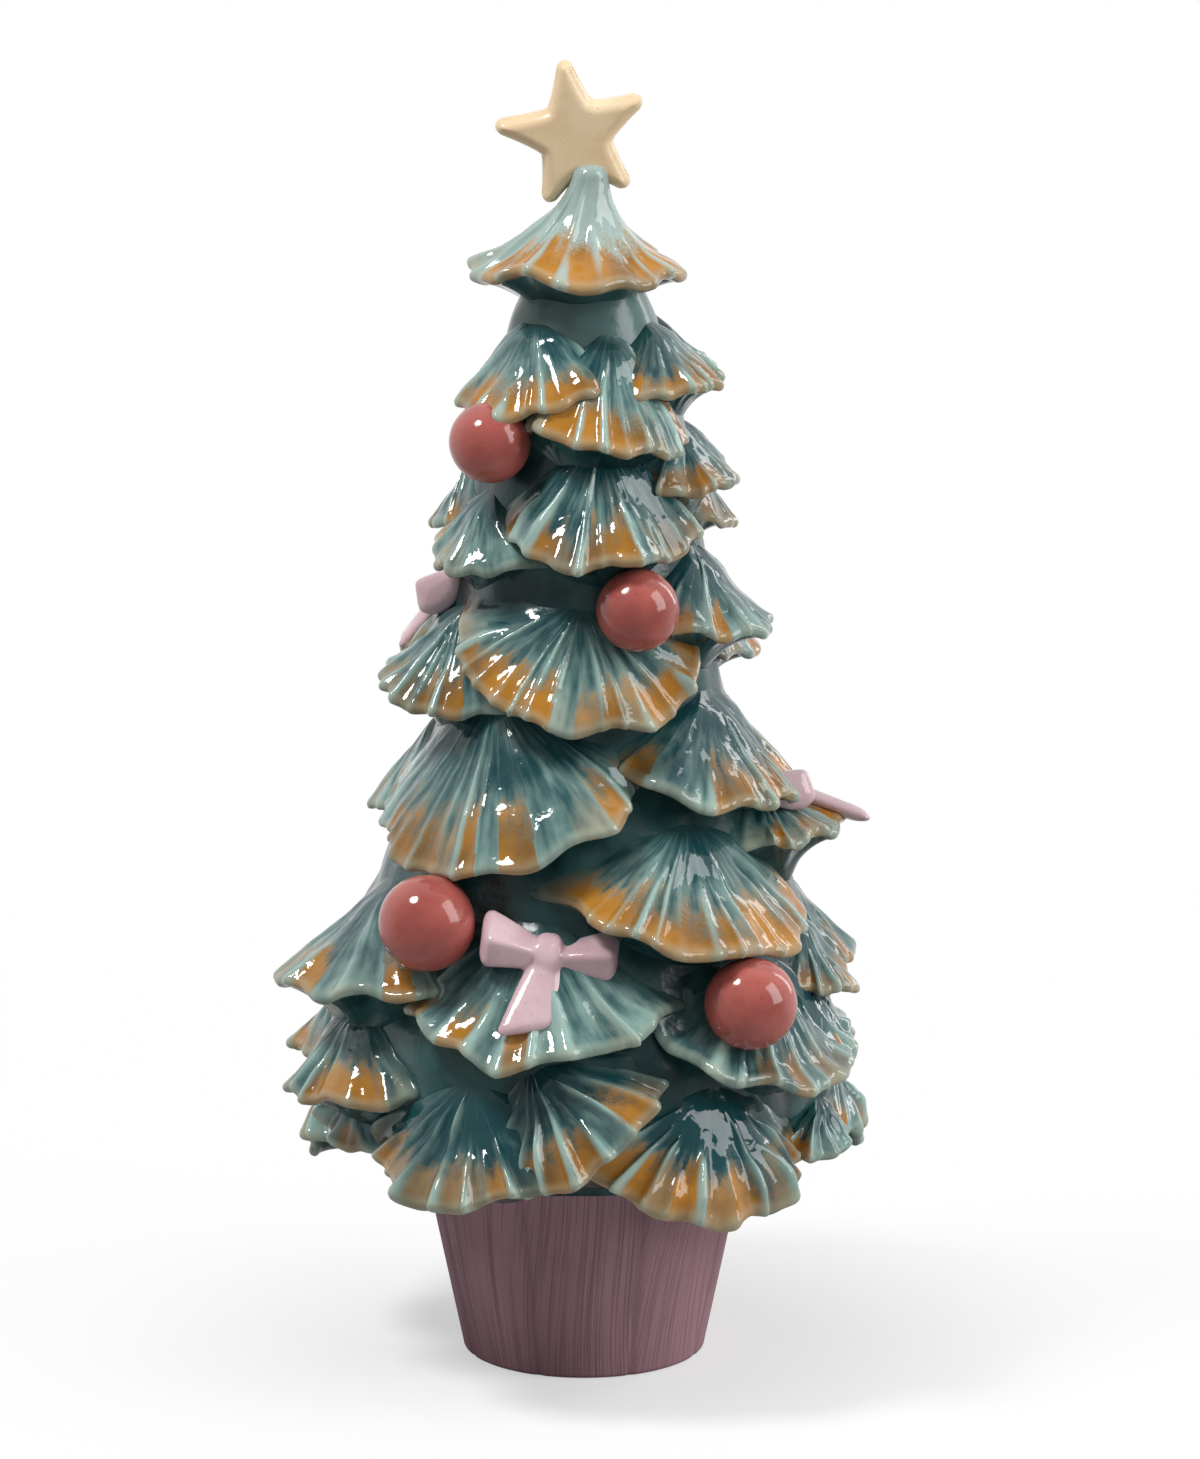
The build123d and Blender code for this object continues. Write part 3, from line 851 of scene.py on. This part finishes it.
crown_origin = np.array([0, 0, crown_top])
crown = clay_fan(
    "crown_skin",
    (crown_origin, np.array([0, 0, -1.0]), np.array([0, -1.0, 0]), np.array([1.0, 0, 0])),
    root_radius=crown_tip_radius,
    lip_radius=crown_lip_radius,
    lip_depth=crown_lip_depth,
    flare=2.05,
    pitch=4.8,
    height=1.3,
    seed=77,
    droop=-0.05,
    front_lift=1.3,
    weakest=0.6,
    gold=(0.25, 1.3),
    pale=1.0,
    blend=False,
)
settle(crown, "crown")
for corner in crown.data.vertices:
    climb = rise(corner.co.z / MM, crown_top - crown_lip_depth, crown_top)
    corner.co += Vector((crown_shift + climb * tip_shift) * MM)
print("crown's tip is", round(crown_top, 1), "mm up")

# %% [markdown]
# ## The ornaments' glazes
# The baubles are a dusty coral red, the bows a pale mauve pink and the star a warm cream. Each is a
# thin even glaze with a faint mottle and tiny specks, glossy like glass on the baubles and the bows
# and duller on the star. They differ only in tone and gloss, so one function makes all three.


# %% Ornament glazes
def ornament_glaze(name, deep, light, speck, roughness=0.07):
    """An even glaze with soft mottling and a few specks."""
    material, board, shader = new_finish(name, {"IOR": 1.5, "Specular IOR Level": 0.5})
    place = board.node("ShaderNodeTexCoord", output="Object")
    mottle = board.noise(place, 160, 3)
    fine = board.noise(place, 2400, 2)
    tone = board.mix(mottle.fade(0.3, 0.7), deep, light)
    tone = board.mix((1 - fine.fade(0.24, 0.36)) * 0.6, tone, speck)
    board.feed(shader.inputs["Base Color"], tone)
    board.feed(shader.inputs["Roughness"], roughness + mottle * 0.08)
    ripple = board.noise(place, 500, 2)
    board.raise_surface(shader, ripple, strength=0.08, distance=0.0005)
    return material


red = ornament_glaze("red_glaze", colour(166, 84, 77), colour(188, 100, 91), colour(124, 58, 55))
pink = ornament_glaze("pink_glaze", colour(214, 178, 186), colour(228, 198, 204), colour(180, 138, 152))
cream_tones = colour(238, 208, 165), colour(246, 222, 184), colour(215, 175, 130)
cream = ornament_glaze("cream_glaze", *cream_tones, roughness=0.26)
print("glazes:", [glaze.name for glaze in (red, pink, cream)])

# %% [markdown]
# ## Baubles
# A bauble is a ball of clay rolled in the palm, so it is not quite round. A ready-made sphere would
# show a perfect highlight. Rings with a slight swell give the soft wobble of the real one.

# %% Baubles
# azimuth, height above the rim, radius, distance of the centre from the core
baubles = {
    "upper_left": (-44, 106.7, 5.8, 4.4),
    "middle": (20, 84.1, 5.9, 4.6),
    "lower_left": (-39, 38.8, 6.9, 5.4),
    "lower_right": (37, 28.2, 6.6, 5.7),
    "back_upper": (152, 96.0, 5.9, 4.6),
    "back_middle": (-143, 60.0, 6.4, 5.0),
    "back_lower": (142, 33.0, 6.8, 5.6),
}


def rolled_ball(name, centre, radius, seed):
    """A ball that is a little uneven."""
    polar = np.linspace(0, math.pi, 50)[1:-1, None]
    turn = np.linspace(0, 2 * math.pi, 96, endpoint=False)
    ball = turned(np.sin(polar), np.cos(polar), turn)
    ball = ball * (radius * (1 + 0.008 * swell(ball * radius, 9, seed)))[..., None]
    return clay_skin(name, ball + centre, np.array([[0, 0, radius], [0, 0, -radius]]) + centre, red)


for order, (label, (azimuth, height, radius, stand_off)) in enumerate(baubles.items()):
    point, out, _, _ = core_frame(azimuth, height)
    ball = rolled_ball(f"bauble_{label}_skin", point + out * stand_off, radius, 200 + order)
    settle(ball, f"bauble_{label}")
print("baubles:", len(baubles))

# %% [markdown]
# ## The star
# The star is pressed in a mould and smoothed with a wet finger, so its arms have round tips, its
# notches are filled and its two flat faces run over soft edges. A bevel on an outline would pinch
# in the notches, so the thickness at each point comes from its distance to the outline.

# %% Star
# turn from straight up towards the right, and length
star_arms = [(-8, 10.8), (61, 10.9), (134, 10.6), (202, 10.4), (277, 11.3)]
star_body = 5.0
star_tip_width = 0.95
star_notch = (4.5, 3.1)  # along an arm and off it
star_half_thickness = 2.4
star_edge_rounding = 1.8
star_crispness = 14  # the higher, the sharper its notches
star_centre = np.array([-1.3, 0.6, 178.9])


def arm_outline(off_axis, length):
    """The radius of one arm, a finger with a round tip, at each angle off its axis."""
    along = np.linspace(0, length, 200)
    share = np.clip((length - along) / (length - star_notch[0]), 0, 1)
    taper = star_tip_width + (star_notch[1] - star_tip_width) * share**1.2
    tip = np.clip((along - length + star_tip_width) / star_tip_width, 0, 1)
    width = taper * np.sqrt(1 - tip**2)
    angle, radius = np.arctan2(width, along), np.hypot(width, along)
    return np.interp(np.abs(off_axis), angle[::-1], radius[::-1])


def star_outline(turn):
    """The star's radius at each turn: five arms that grow softly out of a round body."""
    total = star_body**star_crispness
    for angle, length in star_arms:
        off_axis = (turn - math.radians(angle) + math.pi) % (2 * math.pi) - math.pi
        total = total + arm_outline(off_axis, length) ** star_crispness
    return total ** (1 / star_crispness)


def star_skin():
    """Both faces of the star, as thick as their distance from its outline allows."""
    turn = np.linspace(0, 2 * math.pi, 480, endpoint=False)
    edge = star_outline(turn)
    share = np.sin(np.linspace(0.06, math.pi / 2, 30))[:, None]
    reach = share * (star_body * (1 - share**3) + edge * share**3)
    flat = np.stack([reach * np.sin(turn), reach * np.cos(turn)], axis=-1)
    inside = [np.linalg.norm(ring[:, None] - flat[-1], axis=-1).min(axis=1) for ring in flat]
    inside = np.clip(np.array(inside) / star_edge_rounding, 0, 1)
    puff = star_half_thickness * np.sqrt(1 - (1 - inside) ** 2)
    flat = np.concatenate([flat, flat[-2::-1]])
    puff = np.concatenate([-puff, puff[-2::-1]])
    rings = np.stack([flat[..., 0], puff, flat[..., 1]], axis=-1)
    poles = np.array([[0, -star_half_thickness, 0], [0, star_half_thickness, 0]])
    return clay_skin("star_skin", rings + star_centre, poles + star_centre, cream)


star = settle(star_skin(), "star")
print("star skin has", len(star.data.polygons), "faces")

# %% [markdown]
# ## Bows
# A bow is strips of clay folded over: two plump loops, a pinched knot and two tails. They are
# modelled as separate swellings and then melted into one skin with a voxel remesh, which leaves the
# soft joins of wet clay where a boolean would leave sharp ones.

# %% Where the bows sit
# the bough that carries it, its place round that bough, its share of the depth, and its twist
bows = {
    "front": ("7a", -29, 0.37, -21),
    "left": ("4f", -10, 0.40, 0),
    "right": ("5c", -22, 0.42, 0),
    "back": ("6e", 0, 0.50, 0),
}
bow_sink = 1.4
print("bows on boughs:", [bough for bough, *_ in bows.values()])


# %% Bow shapes
loop_start, loop_length, loop_rise = 0.6, 9.2, 1.5
loop_lift, loop_arch = 1.9, 0.9
loop_half_width, loop_flare = 2.2, 2.5  # at the knot, and what is added along the loop
loop_half_height, loop_swell = 1.8, 1.5
tail_half_width = 1.9  # at the knot
tail_half_thickness = 1.4
# where a tail ends, its half width there, the slant of its end and how far it stands off
bow_tails = [((-2.2, -12.2), 4.4, 18, 2.5), ((2.6, -10.6), 2.4, -10, 1.9)]
knot_half_size = (3.0, 3.6, 2.8)  # to the side, up and out
knot_lift = 2.0


def swept_lump(centres, half_widths, half_heights, normals, ridge):
    """Rings along a row of centres in the bow's plane, oval or roofed to a ridge, closed by two poles."""
    around = np.linspace(0, 2 * math.pi, 40, endpoint=False)
    across = np.cos(around)
    oval = np.sin(around)
    roof = np.interp(across, [-1, -0.4, 1], [0, 1.15, 0.1])
    top = np.where(oval > 0, (1 - ridge) * oval + ridge * roof, oval)
    rings = []
    for centre, width, height, normal in zip(centres, half_widths, half_heights, normals):
        ring = centre + np.outer(across * width, np.array([*normal, 0.0]))
        ring[:, 2] += top * height
        rings.append(ring)
    return np.array(rings), np.array([centres[0], centres[-1]])


def bow_loop(side):
    """One loop: narrow at the knot, wide and blunt at its end, with a fold along it."""
    share = np.linspace(0, 1, 22)
    close = np.sqrt(np.clip(1 - np.clip((share - 0.84) / 0.17, 0, 1) ** 2, 0.0, 1))
    arch = loop_lift + loop_arch * np.sin(share * 2.4)
    along = side * (loop_start + loop_length * share)
    centres = np.stack([along, loop_rise * share**1.2, arch], axis=-1)
    widths = (loop_half_width + loop_flare * share) * (0.4 + 0.6 * close)
    heights = (loop_half_height + loop_swell * share) * close + 0.02
    return swept_lump(centres, widths, heights, [(0, 1)] * len(share), 0.8)


def bow_tail(end, end_half_width, end_slant, lift):
    """One tail: a flat tongue that widens to a slanted end."""
    share = np.linspace(0, 1, 22)
    close = np.sqrt(np.clip(1 - np.clip((share - 0.9) / 0.11, 0, 1) ** 2, 0.0, 1))
    centres = np.stack([end[0] * share**1.3, end[1] * share, lift - 0.5 * share], axis=-1)
    slant = math.radians(end_slant) * share
    normals = np.stack([np.cos(slant), np.sin(slant)], axis=-1)
    widths = tail_half_width + (end_half_width - tail_half_width) * share**0.6
    widths = widths * (0.55 + 0.45 * close)
    heights = (tail_half_thickness - 0.3 * share) * close + 0.02
    return swept_lump(centres, widths, heights, normals, 0.25)


def bow_knot():
    """The pinched band over the middle."""
    wide, tall, deep = knot_half_size
    polar = np.linspace(0, math.pi, 16)[1:-1, None]
    turn = np.linspace(0, 2 * math.pi, 28, endpoint=False)
    crease = 1 + 0.12 * np.sin(6 * turn + 1) * np.sin(polar)
    rings = np.stack(
        [
            wide * np.sin(polar) * np.cos(turn) * crease,
            tall * np.cos(polar) + 0 * turn,
            knot_lift + deep * np.sin(polar) * np.sin(turn) * crease,
        ],
        axis=-1,
    )
    return rings, np.array([[0, tall, knot_lift], [0, -tall, knot_lift]])


# %% A seat on a bough
def bough_seat(label, turn, share):
    """The point on a bough's face, with the directions to the right, up along it and out of it."""
    azimuth, height, lean, length, half_angle, tilt = boughs[label]
    origin, axis, away, side = bough_axes(azimuth, height, lean, tilt)
    lip_radius = length * math.sin(math.radians(half_angle))
    lip_depth = length * math.cos(math.radians(half_angle))
    radius = lip_radius * share**fan_flare
    rate = fan_flare * lip_radius * share ** (fan_flare - 1) / lip_depth
    turn = math.radians(turn)
    away = away * math.cos(turn) + side * math.sin(turn)
    normal = (away - axis * rate) / math.hypot(1, rate)
    up = -(away * rate + axis) / math.hypot(1, rate)
    point = origin + axis * lip_depth * share + away * radius - normal * bow_sink
    return point, np.cross(up, normal), up, normal


# %% Melt the lumps together
def melted(name, lumps, place, finish, voxel):
    """One closed skin from overlapping lumps, remeshed and smoothed."""
    points, faces = [], []
    for rings, poles in lumps:
        faces += ring_faces(*rings.shape[:2], first=len(points))
        points += [poles[0], *rings.reshape(-1, 3), poles[1]]
    mesh = bpy.data.meshes.new(name)
    placed = place(np.array(points)) * MM
    mesh.from_pydata(placed.tolist(), [], faces)
    lump = bpy.data.objects.new(name, mesh)
    scene.collection.objects.link(lump)
    remesh = lump.modifiers.new("melt", "REMESH")
    remesh.mode = "VOXEL"
    remesh.voxel_size = voxel * MM
    smooth = lump.modifiers.new("wet_finger", "SMOOTH")
    smooth.iterations = 10
    smooth.factor = 0.5
    shaped = lump.evaluated_get(bpy.context.evaluated_depsgraph_get())
    skin = bpy.data.meshes.new_from_object(shaped)
    lump.modifiers.clear()
    lump.data = skin
    bpy.data.meshes.remove(mesh)
    skin.shade_smooth()
    skin.materials.clear()
    skin.materials.append(finish)
    return lump


# %% All the bows
for label, (bough, turn, share, twist) in bows.items():
    point, right, up, normal = bough_seat(bough, turn, share)
    twist = math.radians(twist)
    level = right * math.cos(twist) + up * math.sin(twist)
    rising = up * math.cos(twist) - right * math.sin(twist)
    shape = [bow_loop(-1), bow_loop(1), *(bow_tail(*tail) for tail in bow_tails), bow_knot()]

    def on_bough(points, base=np.array([level, rising, normal]), start=point):
        return points @ base + start

    bow = melted(f"bow_{label}_skin", shape, on_bough, pink, voxel=0.28)
    settle(bow, f"bow_{label}")
    print("bow", label, "has", len(bow.data.polygons), "faces")

# %% [markdown]
# ## The pot
# The pot is left unglazed, a matt mauve. Its wall is scored into staves, and each stave is combed
# with fine lines like the grain of wood. The grooves between staves are cut in the mesh, because
# they show against the light, and the combing is a bump, because it is finer than the mesh.


# %% Mauve bisque
def mauve_bisque():
    material, board, shader = new_finish("mauve_bisque", {"Specular IOR Level": 0.35})
    place = board.node("ShaderNodeTexCoord", output="Object")
    stave = board.attribute("stave")
    climb = board.attribute("climb")
    arch = board.attribute("arch")
    streaks = board.node("ShaderNodeCombineXYZ", {}, {0: arch * 52.0, 1: climb * 1.1, 2: stave * 3.1})
    rings = board.noise(streaks, 1.0, 3)
    pores = board.noise(place, 3000, 2)
    cloud = board.noise(place, 60, 2)
    groove = board.attribute("groove")
    tone = board.mix(cloud.fade(0.3, 0.7), colour(160, 122, 130), colour(176, 137, 145))
    tone = board.mix(rings.fade(0.42, 0.7) * 0.6, tone, colour(112, 84, 93))
    tone = board.mix(groove * 0.25, tone, colour(96, 70, 80))
    board.feed(shader.inputs["Base Color"], tone)
    board.feed(shader.inputs["Roughness"], 0.62 + pores * 0.2)
    relief = pores * 0.25 + rings
    board.raise_surface(shader, relief, strength=0.35, distance=0.0004)
    return material


mauve = mauve_bisque()
print("made", mauve.name, "with", len(mauve.node_tree.nodes), "nodes")

# %% Pot skin
stave_count = 8
pot_wall = 3.0
pot_floor = 3.5
pot_edge = 0.9
pot_taper = 6.3  # of the radius, from rim to base
floor_corner = 4.0
groove_half_width = 0.55
groove_depth = 0.2


def pot_skin():
    """The cup, from the middle of its floor up the inside, over the rim and down to the base."""
    rim_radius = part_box("pot")[1].x / MM
    base_radius = rim_radius - pot_taper
    slope = (rim_radius - base_radius) / pot_height

    def wall(level):
        return base_radius + slope * level

    inside = np.linspace(pot_floor, pot_height, 24)
    outside = np.linspace(pot_height - 0.2, pot_edge, 90)
    bend = np.linspace(0, math.pi / 2, 6)[1:]
    profile = [(wall(pot_floor) - pot_wall - floor_corner, pot_floor)]
    profile += [(wall(level) - pot_wall, level) for level in inside]
    profile += [(wall(level), level) for level in outside]
    profile += [
        (wall(pot_edge) - pot_edge + pot_edge * math.cos(angle), pot_edge - pot_edge * math.sin(angle))
        for angle in bend
    ]
    radius, height = np.array(profile).T
    turn = np.linspace(0, 2 * math.pi, 512, endpoint=False)
    stave = ((turn + math.pi / 2) / (2 * math.pi) * stave_count - 0.5) % stave_count
    from_seam = np.minimum(stave % 1, 1 - stave % 1) * 2 * math.pi / stave_count * base_radius
    groove = np.exp(-((from_seam / groove_half_width) ** 2))
    outer = (np.arange(len(radius)) > len(inside))[:, None]
    scored = radius[:, None] - outer * (groove_depth * groove)
    rings = turned(scored, height[:, None], turn)
    poles = np.array([[0, 0, pot_floor], [0, 0, 0]])
    number = np.floor(stave) + 0 * radius[:, None]
    climb = height[:, None] / pot_height + 0 * turn
    offset = (stave % 1 - 0.5) + 0.12 * np.sin(number * 2.4)
    arch = offset * (1 + 0.5 * (climb - 0.5) * np.cos(number * 1.7)) + 0.03 * np.sin(climb * 4 + number)
    marks = {"stave": number, "climb": climb, "arch": arch, "groove": outer * groove}
    return clay_skin("pot_skin", rings, poles, mauve, **marks)


pot = settle(pot_skin(), "pot")
print("pot skin has", len(pot.data.polygons), "faces")

# %% [markdown]
# ## Sizes
# The size of the solids' box, in millimetres.

# %% Sizes
print("CAD box", cad_size)
